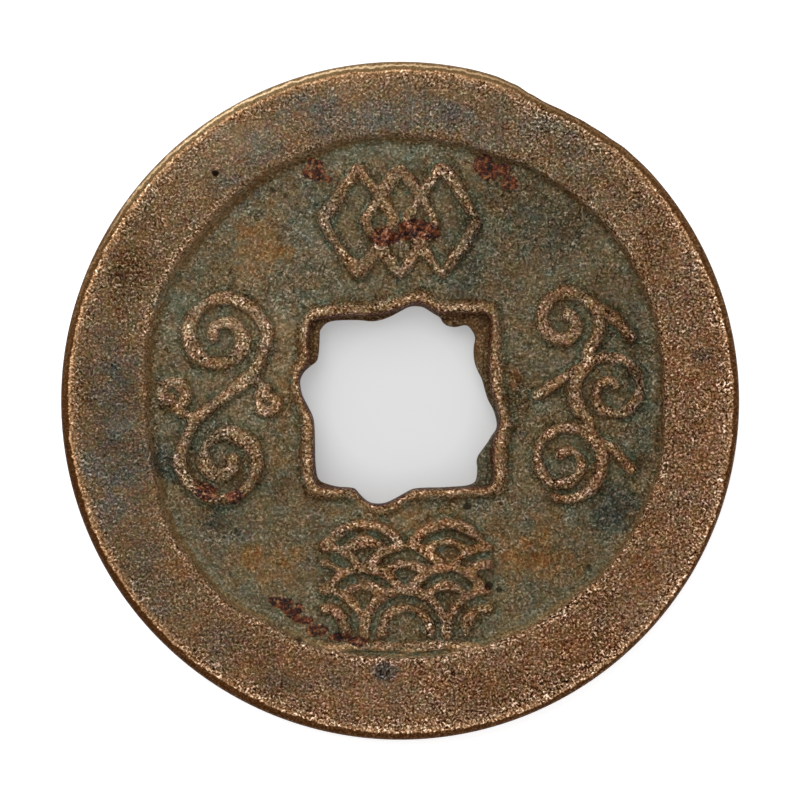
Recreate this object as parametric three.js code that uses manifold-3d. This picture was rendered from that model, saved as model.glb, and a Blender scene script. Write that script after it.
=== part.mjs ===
// Cast bronze cash coin: one poured piece.
// Millimetres, +Z up, obverse up. Origin at the middle of the round outline, on the
// plane that the reverse rim lies on.
import * as THREE from 'three';
import { mergeVertices } from 'three/addons/utils/BufferGeometryUtils.js';
import Module from 'manifold-3d';

const wasm = await Module();
wasm.setup();

// ---- driving dimensions -------------------------------------------------------------
const RADIUS = 12.25;          // outline radius
const THICKNESS = 1.30;        // over both rims
const EDGE_BEVEL = 0.10;       // worn outer edge
const FIELD_Z = 0.98;          // obverse field
const BEAD_Z = 1.27;           // top of the inner rim round the string hole
const LEDGE_Z = 0.74;          // top of the casting flash left in the hole's corners
const RELIEF_Z = 1.26;         // top of the raised ornament
const REVERSE_FIELD_Z = 0.16;  // reverse field, seen from below
const REVERSE_RIM_IN = 9.75;   // reverse outer rim's inner radius
const REVERSE_BEAD = 0.55;     // reverse inner rim's width round the hole
const OUTLINE_STEPS = 144;

// Inner edge of the obverse rim: [degrees, radius]. The rim isn't quite even.
const RIM_IN = [
  [0, 9.595], [18, 9.721], [36, 9.873], [50, 9.786], [60, 9.671], [70, 9.557],
  [90, 9.624], [110, 9.638], [128, 9.562], [140, 9.518], [160, 9.506], [180, 9.234],
  [194, 9.26], [210, 9.577], [226, 9.614], [240, 9.469], [260, 9.353], [280, 9.397],
  [296, 9.444], [308, 9.573], [324, 9.674], [340, 9.714],
];
// Shallow dip in the outline: [degrees, change of radius].
const DIP = [
  [42, 0], [48, -0.029], [52, -0.108], [56, -0.159], [60, -0.217], [64, -0.257],
  [67, -0.202], [70, -0.087], [74, -0.014], [78, 0],
];
// String hole, as it came out of the mould.
const HOLE = [
  [-2.905, 2.565], [-2.701, 2.806], [-2.412, 2.906], [-1.968, 2.932], [-1.467, 2.93], [-1.026, 2.888],
  [-0.696, 2.939], [-0.362, 3.06], [-0.025, 3.235], [0.308, 3.404], [0.58, 3.439], [0.855, 3.391],
  [1.181, 3.193], [1.455, 3.022], [1.539, 2.874], [1.682, 2.747], [1.859, 2.699], [2.035, 2.68],
  [2.327, 2.744], [2.49, 2.702], [2.652, 2.503], [2.73, 2.273], [2.685, 1.992], [2.677, 1.654],
  [2.737, 1.318], [2.847, 1.042], [2.982, 0.764], [3.09, 0.378], [3.195, 0.047], [3.371, -0.283],
  [3.466, -0.552], [3.518, -0.828], [3.485, -1.05], [3.332, -1.272], [3.179, -1.527], [2.993, -1.781],
  [2.845, -1.995], [2.784, -2.208], [2.81, -2.431], [2.787, -2.777], [2.695, -2.978], [2.42, -3.084],
  [2.024, -3.121], [1.469, -3.154], [0.918, -3.163], [0.476, -3.208], [0.196, -3.343], [-0.137, -3.528],
  [-0.47, -3.689], [-0.744, -3.742], [-1.025, -3.721], [-1.246, -3.612], [-1.47, -3.397], [-1.64, -3.207],
  [-1.863, -3.155], [-2.254, -3.128], [-2.647, -3.034], [-2.906, -2.917], [-3.027, -2.702], [-3.084, -2.197],
  [-3.096, -1.632], [-3.11, -1.07], [-3.161, -0.626], [-3.337, -0.231], [-3.54, 0.162], [-3.626, 0.5],
  [-3.628, 0.777], [-3.481, 1.052], [-3.249, 1.27], [-3.038, 1.442], [-2.965, 1.726], [-2.938, 2.063],
  [-2.927, 2.346],
];
// Inner rim round the hole: outer and inner foot.
const BEAD_OUT = [
  [-3.365, 3.097], [-2.967, 3.35], [-2.038, 3.513], [-0.979, 3.549], [-0.025, 3.737], [0.502, 3.892],
  [1.081, 3.784], [1.46, 3.567], [2.454, 3.549], [3.249, 3.469], [3.527, 3.097], [3.661, 1.879],
  [3.683, 0.289], [3.925, -0.506], [4.008, -0.878], [3.845, -1.406], [3.791, -2.627], [3.632, -3.155],
  [3.263, -3.372], [1.673, -3.473], [0.347, -3.527], [-0.13, -3.842], [-0.716, -4.059], [-1.196, -3.791],
  [-1.615, -3.498], [-2.57, -3.48], [-3.206, -3.372], [-3.473, -2.891], [-3.524, -1.832], [-3.581, -0.77],
  [-3.737, -0.029], [-3.86, 0.604], [-3.762, 1.146], [-3.549, 1.724], [-3.581, 2.674],
];
const BEAD_IN = [
  [-3.283, 2.714], [-2.999, 2.95], [-2.077, 3.1], [-0.709, 3.166], [-0.04, 3.354], [0.32, 3.494],
  [0.573, 3.545], [0.936, 3.477], [1.46, 3.206], [2.346, 3.188], [3.141, 3.151], [3.303, 2.736],
  [3.263, 1.76], [3.263, 0.82], [3.484, -0.155], [3.622, -0.806], [3.45, -1.313], [3.361, -2.11],
  [3.399, -2.725], [3.218, -3.088], [2.207, -3.17], [0.903, -3.222], [0.453, -3.258], [-0.112, -3.58],
  [-0.727, -3.81], [-1.271, -3.668], [-1.665, -3.26], [-2.236, -3.179], [-2.879, -3.102], [-3.129, -2.813],
  [-3.154, -1.801], [-3.161, -0.759], [-3.471, -0.082], [-3.666, 0.604], [-3.587, 1.075], [-3.322, 1.44],
  [-3.355, 2.152],
];

// ---- helpers ------------------------------------------------------------------------
const v2 = (p) => new THREE.Vector2(p[0], p[1]);
const v3 = (p) => new THREE.Vector3(p[0], p[1], 0);

// a value given at a few angles, read smoothly all the way round
function around(table, degrees) {
  const n = table.length;
  for (let i = 0; i < n; i += 1) {
    const a0 = table[i][0];
    const a1 = i + 1 < n ? table[i + 1][0] : table[0][0] + 360;
    const d = degrees < table[0][0] ? degrees + 360 : degrees;
    if (d >= a0 && d <= a1) {
      const t = (d - a0) / (a1 - a0);
      const k = t * t * (3 - 2 * t);
      const r1 = i + 1 < n ? table[i + 1][1] : table[0][1];
      return table[i][1] * (1 - k) + r1 * k;
    }
  }
  return table[0][1];
}

function dip(degrees) {
  if (degrees <= DIP[0][0] || degrees >= DIP[DIP.length - 1][0]) return 0;
  return around(DIP, degrees);
}

function ring(radiusAt, steps) {
  const points = [];
  for (let i = 0; i < steps; i += 1) {
    const degrees = (360 * i) / steps;
    const a = THREE.MathUtils.degToRad(degrees);
    const r = radiusAt(degrees);
    points.push(new THREE.Vector2(r * Math.cos(a), r * Math.sin(a)));
  }
  return points;
}

function loop(table, steps) {
  return new THREE.CatmullRomCurve3(table.map(v3), true, 'centripetal')
    .getPoints(steps).slice(0, steps).map((p) => new THREE.Vector2(p.x, p.y));
}

function solid(geometry) {
  geometry.deleteAttribute('normal');
  geometry.deleteAttribute('uv');
  const merged = mergeVertices(geometry, 1e-5);
  return new wasm.Manifold(new wasm.Mesh({
    numProp: 3,
    vertProperties: new Float32Array(merged.attributes.position.array),
    triVerts: new Uint32Array(merged.index.array),
  }));
}

// upright prism of an outline between two heights
function prism(points, z0, z1, bevel = 0) {
  const geometry = new THREE.ExtrudeGeometry(new THREE.Shape(points), {
    depth: z1 - z0 - 2 * bevel,
    steps: 1,
    curveSegments: 1,
    bevelEnabled: bevel > 0,
    bevelThickness: bevel,
    bevelSize: bevel,
    bevelOffset: -bevel,
    bevelSegments: 1,
  });
  geometry.translate(0, 0, z0 + bevel);
  return solid(geometry);
}

// outline of one stroke: a band with round ends along a smooth line
function band(line, width) {
  const h = width / 2;
  const n = line.length;
  const left = [];
  const right = [];
  for (let i = 0; i < n; i += 1) {
    const a = line[Math.max(0, i - 1)];
    const b = line[Math.min(n - 1, i + 1)];
    const d = new THREE.Vector2().subVectors(b, a).normalize();
    left.push(new THREE.Vector2(line[i].x - d.y * h, line[i].y + d.x * h));
    right.push(new THREE.Vector2(line[i].x + d.y * h, line[i].y - d.x * h));
  }
  const cap = (centre, towards) => {
    const base = Math.atan2(towards.y, towards.x);
    const out = [];
    for (let k = 1; k < 5; k += 1) {
      const a = base + Math.PI / 2 - (Math.PI * k) / 5;
      out.push(new THREE.Vector2(centre.x + h * Math.cos(a), centre.y + h * Math.sin(a)));
    }
    return out;
  };
  const end = new THREE.Vector2().subVectors(line[n - 1], line[n - 2]).normalize();
  const start = new THREE.Vector2().subVectors(line[0], line[1]).normalize();
  return [...left, ...cap(line[n - 1], end), ...right.reverse(), ...cap(line[0], start)];
}

const smooth = (table, steps) => new THREE.CatmullRomCurve3(table.map(v3), false, 'centripetal')
  .getPoints(steps).map((p) => new THREE.Vector2(p.x, p.y));

// points of a spiral about (x, y): radius and angle run from the first to the last value
function spiral(x, y, r0, r1, a0, a1, steps) {
  const out = [];
  for (let i = 0; i <= steps; i += 1) {
    const t = i / steps;
    const a = THREE.MathUtils.degToRad(a0 + (a1 - a0) * t);
    const r = r0 + (r1 - r0) * t;
    out.push([x + r * Math.cos(a), y + r * Math.sin(a)]);
  }
  return out;
}

// ---- ornament: four plain traditional motifs ------------------------------------------
const strokes = [];
const add = (table, steps, width) => strokes.push(band(smooth(table, steps), width));

// a line whose corners are rounded off
function rounded(table, corner) {
  const out = [table[0]];
  for (let i = 1; i < table.length - 1; i += 1) {
    const here = v2(table[i]);
    const a = v2(table[i - 1]).sub(here).normalize();
    const b = v2(table[i + 1]).sub(here).normalize();
    out.push([here.x + a.x * corner, here.y + a.y * corner]);
    out.push([here.x + (a.x + b.x) * corner * 0.3, here.y + (a.y + b.y) * corner * 0.3]);
    out.push([here.x + b.x * corner, here.y + b.y * corner]);
  }
  out.push(table[table.length - 1]);
  return out;
}

// above the hole: a chain of three linked lozenges
for (const x of [-1.5, 0, 1.5]) {
  const y = 6.5;
  const w = 1.32;
  const h = 1.98;
  strokes.push(band(rounded([
    [x - w / 2, y + h / 2], [x, y + h], [x + w, y], [x, y - h], [x - w, y], [x - w / 2 + 0.02, y + h / 2 + 0.03],
  ], 0.2).map(v2), 0.37));
}

// right of the hole: a running vine with three scrolls and three leaves
add([
  ...spiral(5.95, -2.2, 1.35, 1.35, -105, 52, 8),
  ...spiral(7.65, 0.35, 1.35, 1.35, 232, 128, 6),
  ...spiral(5.95, 2.85, 1.35, 0.28, -52, 425, 20),
], 64, 0.42);
add(spiral(5.95, -2.2, 1.35, 0.28, 40, 480, 18), 36, 0.38);
add(spiral(7.65, 0.35, 1.35, 0.28, 140, -300, 18), 36, 0.38);
add([[7.05, -1.3], [7.7, -1.75], [8.35, -2.5]], 6, 0.36);
add([[6.35, 1.2], [5.6, 0.6], [4.9, 0.15]], 6, 0.36);
add([[7.1, 3.4], [7.75, 2.95], [8.35, 2.3]], 6, 0.36);

// below the hole: scale-shaped waves over a water line; each scale is a set of rings, hidden
// where a nearer scale covers them
const WAVES = [
  { y: -5.95, xs: [-1.3, 1.7] }, { y: -6.75, xs: [-2.8, 0.2, 3.2] },
  { y: -7.55, xs: [-1.3, 1.7] }, { y: -8.35, xs: [-2.8, 0.2, 3.2] },
];
const SCALE = 1.5;
WAVES.forEach(({ y, xs }, k) => {
  const front = WAVES.slice(k + 1).flatMap((row) => row.xs.map((fx) => [fx, row.y]));
  for (const x of xs) {
    for (const r of [SCALE, 0.86]) {
      let run = [];
      for (let a = 0; a <= 188; a += 8) {
        const px = x + r * Math.cos(THREE.MathUtils.degToRad(a));
        const py = y + r * Math.sin(THREE.MathUtils.degToRad(a));
        const seen = a <= 184 && px >= -2.8 && px <= 3.2
          && front.every(([fx, fy]) => Math.hypot(px - fx, py - fy) >= SCALE);
        if (seen) run.push(v2([px, py]));
        else {
          if (run.length > 1) strokes.push(band(run, 0.34));
          run = [];
        }
      }
    }
  }
});
add([[-2.45, -8.95], [-1.4, -8.82], [0.2, -8.92], [1.7, -8.82], [2.75, -8.95]], 12, 0.34);

// left of the hole: an S scroll with two small curls
add([
  ...spiral(-6.45, 2.3, 0.3, 1.62, 540, 0, 18),
  [-5.35, 0.95], [-6.4, 0.1], [-7.45, -0.8],
  ...spiral(-6.35, -2.15, 1.62, 0.3, 180, 720, 18),
], 70, 0.44);
add([[-7.35, -0.65], ...spiral(-8.3, 0.25, 0.62, 0.2, 285, 640, 10)], 20, 0.36);
add([[-5.45, 0.85], ...spiral(-4.72, -0.05, 0.5, 0.16, 105, 460, 10)], 20, 0.34);

// ---- the casting ------------------------------------------------------------------------
const rimEdge = ring((d) => around(RIM_IN, d), OUTLINE_STEPS);
const outline = ring((d) => RADIUS + dip(d), OUTLINE_STEPS);
const hole = loop(HOLE, 84);
const beadOut = loop(BEAD_OUT, 72);
const beadIn = loop(BEAD_IN, 72);

let coin = prism(outline, 0, THICKNESS, EDGE_BEVEL);
// sunken obverse field
coin = coin.subtract(prism(rimEdge, FIELD_Z, THICKNESS + 1));
// inner rim, and the flash ledge inside it
coin = coin.add(prism(beadOut, FIELD_Z - 0.3, BEAD_Z));
coin = coin.subtract(prism(beadIn, LEDGE_Z, THICKNESS + 1));
// ornament
for (const outlineOfStroke of strokes) {
  coin = coin.add(prism(outlineOfStroke, FIELD_Z - 0.2, RELIEF_Z));
}
// sunken reverse field, leaving an outer rim and a broad inner rim
const reverseBead = beadOut.map((p) => p.clone().setLength(p.length() + REVERSE_BEAD));
const reverseCut = prism(ring(() => REVERSE_RIM_IN, 96), -1, REVERSE_FIELD_Z)
  .subtract(prism(reverseBead, -2, THICKNESS));
coin = coin.subtract(reverseCut);
// string hole
coin = coin.subtract(prism(hole, -2, THICKNESS + 2));

const result = coin.getMesh();
const geometry = new THREE.BufferGeometry();
geometry.setAttribute('position', new THREE.BufferAttribute(new Float32Array(result.vertProperties), 3));
geometry.setIndex(new THREE.BufferAttribute(new Uint32Array(result.triVerts), 1));
geometry.computeVertexNormals();

const bronze = new THREE.MeshStandardMaterial({ color: 0x7d6850, roughness: 0.55, metalness: 0.8 });
const castCoin = new THREE.Mesh(geometry, bronze);
castCoin.name = 'cast_coin';

const object = new THREE.Group();
object.add(castCoin);
export default object;
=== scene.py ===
# Cast bronze cash coin, lying obverse up on a pale floor, seen from straight above.
import math

import bpy
import numpy as np
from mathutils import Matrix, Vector


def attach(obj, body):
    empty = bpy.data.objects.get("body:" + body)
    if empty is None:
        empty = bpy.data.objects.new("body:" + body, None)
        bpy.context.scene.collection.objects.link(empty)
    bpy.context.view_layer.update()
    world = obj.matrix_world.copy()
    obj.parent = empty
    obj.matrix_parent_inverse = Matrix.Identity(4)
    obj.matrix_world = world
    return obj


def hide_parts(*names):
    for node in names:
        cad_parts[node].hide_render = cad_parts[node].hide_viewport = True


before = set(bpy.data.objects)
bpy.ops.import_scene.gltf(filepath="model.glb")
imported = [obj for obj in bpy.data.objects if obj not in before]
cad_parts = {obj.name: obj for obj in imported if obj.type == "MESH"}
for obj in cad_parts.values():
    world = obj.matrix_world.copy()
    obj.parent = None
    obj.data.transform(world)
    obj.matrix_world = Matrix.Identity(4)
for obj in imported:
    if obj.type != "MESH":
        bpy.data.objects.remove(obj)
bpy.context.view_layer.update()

MM = 0.001

# ---- sizes in millimetres, the same as the construction's ---------------------------------
RADIUS = 12.25
THICK = 1.30
FIELD = 0.98
BEAD = 1.27
LEDGE = 0.74
RELIEF = 1.26
REV_FIELD = 0.16
REV_RIM = 9.75
REV_BEAD = 0.55
STROKE = 0.44

RIM_IN = [
    (0, 9.595), (18, 9.721), (36, 9.873), (50, 9.786), (60, 9.671), (70, 9.557),
    (90, 9.624), (110, 9.638), (128, 9.562), (140, 9.518), (160, 9.506), (180, 9.234),
    (194, 9.26), (210, 9.577), (226, 9.614), (240, 9.469), (260, 9.353), (280, 9.397),
    (296, 9.444), (308, 9.573), (324, 9.674), (340, 9.714),
]
DIP = [
    (42, 0), (48, -0.029), (52, -0.108), (56, -0.159), (60, -0.217), (64, -0.257),
    (67, -0.202), (70, -0.087), (74, -0.014), (78, 0),
]
HOLE = [
    (-2.905, 2.565), (-2.701, 2.806), (-2.412, 2.906), (-1.968, 2.932), (-1.467, 2.93), (-1.026, 2.888),
    (-0.696, 2.939), (-0.362, 3.06), (-0.025, 3.235), (0.308, 3.404), (0.58, 3.439), (0.855, 3.391),
    (1.181, 3.193), (1.455, 3.022), (1.539, 2.874), (1.682, 2.747), (1.859, 2.699), (2.035, 2.68),
    (2.327, 2.744), (2.49, 2.702), (2.652, 2.503), (2.73, 2.273), (2.685, 1.992), (2.677, 1.654),
    (2.737, 1.318), (2.847, 1.042), (2.982, 0.764), (3.09, 0.378), (3.195, 0.047), (3.371, -0.283),
    (3.466, -0.552), (3.518, -0.828), (3.485, -1.05), (3.332, -1.272), (3.179, -1.527), (2.993, -1.781),
    (2.845, -1.995), (2.784, -2.208), (2.81, -2.431), (2.787, -2.777), (2.695, -2.978), (2.42, -3.084),
    (2.024, -3.121), (1.469, -3.154), (0.918, -3.163), (0.476, -3.208), (0.196, -3.343), (-0.137, -3.528),
    (-0.47, -3.689), (-0.744, -3.742), (-1.025, -3.721), (-1.246, -3.612), (-1.47, -3.397), (-1.64, -3.207),
    (-1.863, -3.155), (-2.254, -3.128), (-2.647, -3.034), (-2.906, -2.917), (-3.027, -2.702), (-3.084, -2.197),
    (-3.096, -1.632), (-3.11, -1.07), (-3.161, -0.626), (-3.337, -0.231), (-3.54, 0.162), (-3.626, 0.5),
    (-3.628, 0.777), (-3.481, 1.052), (-3.249, 1.27), (-3.038, 1.442), (-2.965, 1.726), (-2.938, 2.063),
    (-2.927, 2.346),
]
BEAD_OUT = [
    (-3.365, 3.097), (-2.967, 3.35), (-2.038, 3.513), (-0.979, 3.549), (-0.025, 3.737), (0.502, 3.892),
    (1.081, 3.784), (1.46, 3.567), (2.454, 3.549), (3.249, 3.469), (3.527, 3.097), (3.661, 1.879),
    (3.683, 0.289), (3.925, -0.506), (4.008, -0.878), (3.845, -1.406), (3.791, -2.627), (3.632, -3.155),
    (3.263, -3.372), (1.673, -3.473), (0.347, -3.527), (-0.13, -3.842), (-0.716, -4.059), (-1.196, -3.791),
    (-1.615, -3.498), (-2.57, -3.48), (-3.206, -3.372), (-3.473, -2.891), (-3.524, -1.832), (-3.581, -0.77),
    (-3.737, -0.029), (-3.86, 0.604), (-3.762, 1.146), (-3.549, 1.724), (-3.581, 2.674),
]
BEAD_IN = [
    (-3.283, 2.714), (-2.999, 2.95), (-2.077, 3.1), (-0.709, 3.166), (-0.04, 3.354), (0.32, 3.494),
    (0.573, 3.545), (0.936, 3.477), (1.46, 3.206), (2.346, 3.188), (3.141, 3.151), (3.303, 2.736),
    (3.263, 1.76), (3.263, 0.82), (3.484, -0.155), (3.622, -0.806), (3.45, -1.313), (3.361, -2.11),
    (3.399, -2.725), (3.218, -3.088), (2.207, -3.17), (0.903, -3.222), (0.453, -3.258), (-0.112, -3.58),
    (-0.727, -3.81), (-1.271, -3.668), (-1.665, -3.26), (-2.236, -3.179), (-2.879, -3.102), (-3.129, -2.813),
    (-3.154, -1.801), (-3.161, -0.759), (-3.471, -0.082), (-3.666, 0.604), (-3.587, 1.075), (-3.322, 1.44),
    (-3.355, 2.152),
]
# width of the slope at the rim's inner edge: degrees, millimetres
RIM_SOFT = [
    (0, 0.15), (40, 0.14), (60, 0.15), (95, 0.22), (110, 0.3), (135, 0.34),
    (160, 0.34), (180, 0.28), (205, 0.25), (225, 0.16), (260, 0.15), (300, 0.14),
    (340, 0.14),
]
# by degrees: how far in the worn outer slope reaches, the rubbed inner and outer borders, the tone of the inner step
# (painted light where it faces the light) and the depth of its orange-brown painted shade, the painted light at the
# bottom of the step, the grain of the rim, the rubbed top of the inner rim with its painted highlight, the field beside
# the step, how far the outer slope faces the light (for its painted light and shade), its painted highlight line
EDGE_W = [
    (0, 0.22), (30, 0.265), (60, 0.26), (90, 0.31), (120, 0.27), (150, 0.275),
    (180, 0.27), (210, 0.25), (240, 0.275), (270, 0.255), (300, 0.175), (330, 0.135),
]
CREST_IN = [
    (0, 0), (20, 0.2), (45, 0.4), (55, 0), (75, 0.1), (100, 0.1),
    (115, 0.5), (130, 1), (160, 1), (172, 0.5), (185, 0.3), (200, 0.6),
    (215, 1), (255, 0.9), (280, 0.65), (300, 0.65), (320, 0.5), (345, 0.3),
]
CREST_OUT = [
    (0, 0.9), (40, 0.9), (60, 0.4), (80, 1), (100, 1), (200, 1),
    (300, 1),
]
SLOPE = [
    (0, 0.01), (30, 0.05), (60, -0.01), (90, 0.1), (120, 0.04), (150, 0.1),
    (180, 0.05), (210, 0.08), (240, 0.13), (270, 0.18), (300, 0.15), (330, 0.08),
]
FALL = [
    (0, 0.8), (20, 0.7), (45, 1), (62, 0.9), (75, 0.5), (90, 0.5),
    (110, 0.8), (130, 1), (150, 1), (165, 0.6), (180, 0.55), (195, 0.7),
    (210, 1), (235, 1), (255, 0.7), (290, 0.5), (310, 0.9), (345, 0.9),
]
LIFT = [
    (0, 0), (30, 0.06), (60, 0.1), (90, 0.28), (120, 0.1), (150, 0.2),
    (180, 0.12), (210, 0.35), (240, 0.42), (256, 0.95), (270, 1.4), (284, 1.05),
    (300, 0.6), (320, 0.2),
]
ROUGH = [
    (0, 1), (30, 0.93), (60, 0.78), (90, 0.62), (120, 0.56), (150, 0.72),
    (180, 0.57), (210, 0.57), (240, 0.7), (270, 0.97), (300, 0.97), (330, 0.94),
]
BEAD_LIT = [
    (0, 0.4), (40, 0.1), (80, 0.4), (110, 0.2), (140, 0.3), (180, 0.8),
    (225, 0.9), (270, 0.9), (315, 0.7), (340, 0.5),
]
VERGE = [
    (0, 0.1), (60, 0), (85, 0.4), (105, 0.3), (125, 0), (150, 0.1),
    (170, 0.5), (190, 0.3), (212, 0.5), (225, 0.7), (262, 0.25), (285, 0.35),
    (305, 0.7), (330, 0.4),
]
EDGE_LIT = [
    (0, 0.05), (30, 0.12), (60, 0.3), (78, 0.7), (95, 0.85), (120, 1),
    (140, 0.75), (155, 0.3), (170, 0.12), (190, 0), (270, 0), (345, 0.05),
]
EDGE_LIP = [
    (0, 0.35), (30, 0.5), (60, 0.25), (75, 0.8), (90, 1), (120, 0.9),
    (150, 1.1), (180, 1.1), (210, 0.75), (240, 0.4), (270, 0.6), (300, 0.4),
    (330, 0.25),
]
# pits: x, y, radius, depth
PITS = [
    (-6.65, 8.19, 0.12, 0.16), (3.21, -6.7, 0.15, 0.08), (2.45, -3.81, 0.15, 0.08), (3.61, -6.84, 0.11, 0.06),
    (6.83, -6.05, 0.12, 0.06), (6.21, -6.84, 0.11, 0.05), (-5.89, -4.78, 0.14, 0.04), (-6.15, 4.65, 0.11, 0.03),
    (-4.63, 7.61, 0.11, 0.05), (-4.16, 7.4, 0.09, 0.04), (-3.62, -8.65, 0.11, 0.07), (4.33, -7.2, 0.09, 0.05),
    (4.91, 5.81, 0.09, 0.04),
]
# marks on the surface: x, y, half width, half height, strength
CRUST = [
    (-3, 8.3, 0.4, 0.51, 1), (3.03, 8.59, 0.33, 0.33, 1), (3.43, 8.23, 0.51, 0.36, 1), (3.9, 7.9, 0.36, 0.25, 0.8),
    (-0.55, 5.95, 0.72, 0.33, 0.9), (0.54, 6.13, 0.8, 0.36, 0.9), (-4.27, -7.31, 0.4, 0.18, 1), (-3.83, -7.6, 0.4, 0.22, 1),
    (-3.44, -7.93, 0.43, 0.22, 0.9), (-2.89, -8.29, 0.51, 0.22, 0.8), (-2.24, -8.54, 0.51, 0.18, 0.8), (-1.59, -8.68, 0.43, 0.18, 0.9),
    (-7.05, -3.3, 0.33, 0.33, 0.6), (-5.93, -3.48, 0.36, 0.29, 0.6),
]
DARK = [
    (-8.6, -2.22, 0.36, 0.51, 0.6), (7.8, -3.88, 0.65, 0.51, 0.6), (-0.58, -9.77, 0.36, 0.33, 0.8), (1.98, 2.77, 0.22, 0.18, 0.9),
    (10.84, 1.62, 0.33, 0.25, 0.6),
]
WARM = [
    (-4.85, 5.59, 1.01, 1.16, 0.9), (-5.61, 4.54, 0.51, 0.43, 0.5), (-4.88, -5.83, 1.3, 0.8, 0.9), (4.88, -5.68, 1.81, 1.23, 1),
    (4.15, 0.75, 0.29, 0.51, 0.7), (-8.97, 1.47, 0.29, 2.17, 0.7), (-8.14, -5.94, 0.94, 0.36, 0.5), (-3.62, 6.75, 0.72, 0.72, 0.2),
    (-4.23, 0.75, 0.58, 3.04, 0.45), (-0, -4.38, 3.04, 0.51, 0.7), (1.44, -5.76, 0.87, 0.72, 0.5), (8.67, -4.31, 0.72, 0.51, 0.3),
    (5.78, -9.19, 2.17, 0.94, 0.15), (11.02, 0.03, 0.58, 3.25, 0.12), (8.67, -5.76, 0.72, 1.45, 0.3),
]
TEAL = [
    (-0, 9.06, 2.53, 0.33, 0.6), (-3.62, 3.64, 1.08, 0.36, 0.5), (-7.88, 3.53, 1.16, 0.4, 0.8), (8.85, 0.03, 0.29, 2.53, 0.4),
    (-8.32, 2.92, 0.36, 1.81, 0.5), (5.78, 8.34, 2.17, 0.36, 0.4), (6.86, -3.59, 0.51, 0.51, 0.4), (-1.99, -4.31, 0.58, 1.08, 0.35),
]
TONE = [
    (-9.76, 4.58, 0.72, 0.87, -0.07), (-10.2, 4.07, 0.65, 0.87, -0.03), (-10.41, 0.46, 0.87, 1.66, -0.04), (-11.57, 0.75, 0.51, 1.59, -0.03),
    (-9.94, -2.14, 0.94, 0.94, -0.03), (-7.05, 8.7, 1.95, 1.59, 0.035), (-5.42, 9.96, 1.81, 0.8, 0.03), (-0, 11.37, 4.34, 0.47, 0.02),
    (9.21, 6.1, 0.72, 1.08, -0.03), (10.48, -0.34, 0.87, 2.89, -0.02), (2.89, -10.46, 2.53, 0.65, -0.03), (-0, -11.36, 4.34, 0.43, -0.01),
    (-6.44, -8.65, 1.08, 0.65, -0.03), (-5.21, -9.08, 1.01, 0.58, -0.03), (-4.52, -10.24, 1.01, 0.51, -0.03), (10.84, 1.62, 0.43, 0.43, -0.04),
    (6.86, -9.19, 1.59, 1.23, -0.05), (7.22, -7.42, 0.72, 0.65, -0.03), (-9.4, -5.76, 1.08, 1.59, -0.02), (5.78, 10.14, 1.08, 0.72, -0.02),
    (-4.99, 5.52, 1.59, 1.59, 0.025), (-5.79, 2.56, 2.39, 1.08, 0.075), (-5.79, 0.03, 1.23, 1.45, 0.05), (-4.23, 1.47, 0.65, 1.95, 0.05),
    (-2.89, 5.81, 0.58, 1.08, 0.04), (-4.7, -3.05, 0.87, 0.58, -0.04), (-0, -4.38, 3.04, 0.58, 0.05), (1.08, -5.76, 0.94, 0.72, 0.04),
    (-6.87, -4.31, 0.87, 0.65, -0.03), (5.78, 2.92, 1.08, 0.65, 0.04), (5.78, -1.42, 0.87, 0.65, 0.03), (7.22, 7.25, 0.72, 0.72, 0.03),
    (5.78, -5.22, 1.45, 1.08, -0.03), (10.48, 5.45, 0.72, 1.23, 0.03), (11.49, -1.78, 0.51, 1.45, 0.04), (-5.79, -10.31, 0.87, 0.58, 0.03),
    (-0.73, -10.82, 2.53, 0.72, 0.03), (5.78, -9.01, 1.08, 0.87, 0.03), (8.85, -7.56, 0.87, 0.87, 0.03), (-1.45, 11.45, 1.81, 0.43, 0.03),
    (-5.79, 9.42, 1.23, 0.87, 0.025), (0.9, -12.08, 4.34, 0.29, 0.01), (10.69, -0.01, 1.08, 3.98, 0.01), (-7.23, -4.31, 0.87, 0.72, -0.03),
    (-2.89, -4.31, 0.51, 0.72, -0.025), (7.22, -1.42, 0.65, 0.87, -0.025), (8.67, -1.42, 0.58, 0.94, -0.03), (7.22, -4.31, 0.72, 0.58, -0.025),
    (11.38, 1.47, 0.51, 0.94, -0.035), (-4.27, 2.7, 0.72, 0.58, 0.04), (-8.68, 4.36, 0.43, 0.65, -0.025), (2.45, 5.08, 0.94, 1.45, -0.02),
    (10.48, 4.18, 0.72, 0.87, -0.02), (-2.53, 10.43, 3.25, 0.87, 0.02), (7.87, 3.64, 0.94, 2.17, -0.03), (8.67, 2.19, 0.51, 2.17, -0.03),
    (6.5, 6.46, 1.45, 1.23, -0.025), (-9.4, 5.45, 1.23, 1.81, -0.015), (-10.2, 3.64, 0.94, 1.45, -0.01), (2.35, 5.81, 0.87, 2.02, -0.03),
    (5.42, 6.35, 2.89, 2.6, -0.05), (5.24, 7.8, 1.59, 1.23, -0.02), (7.44, 3.64, 1.08, 1.59, -0.02), (4.26, 0.21, 0.51, 1.37, -0.08),
    (7.66, -3.81, 0.94, 0.8, -0.075), (8.67, 0.03, 0.58, 2.17, -0.045), (-4.88, -5.94, 1.37, 0.94, 0.01), (-6.15, -4.31, 1.23, 0.72, -0.03),
    (-8.57, -2.22, 0.51, 0.72, -0.06), (-1.27, 8.52, 1.81, 0.58, 0.03), (-0, 7.07, 1.08, 0.58, 0.03),
]
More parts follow.
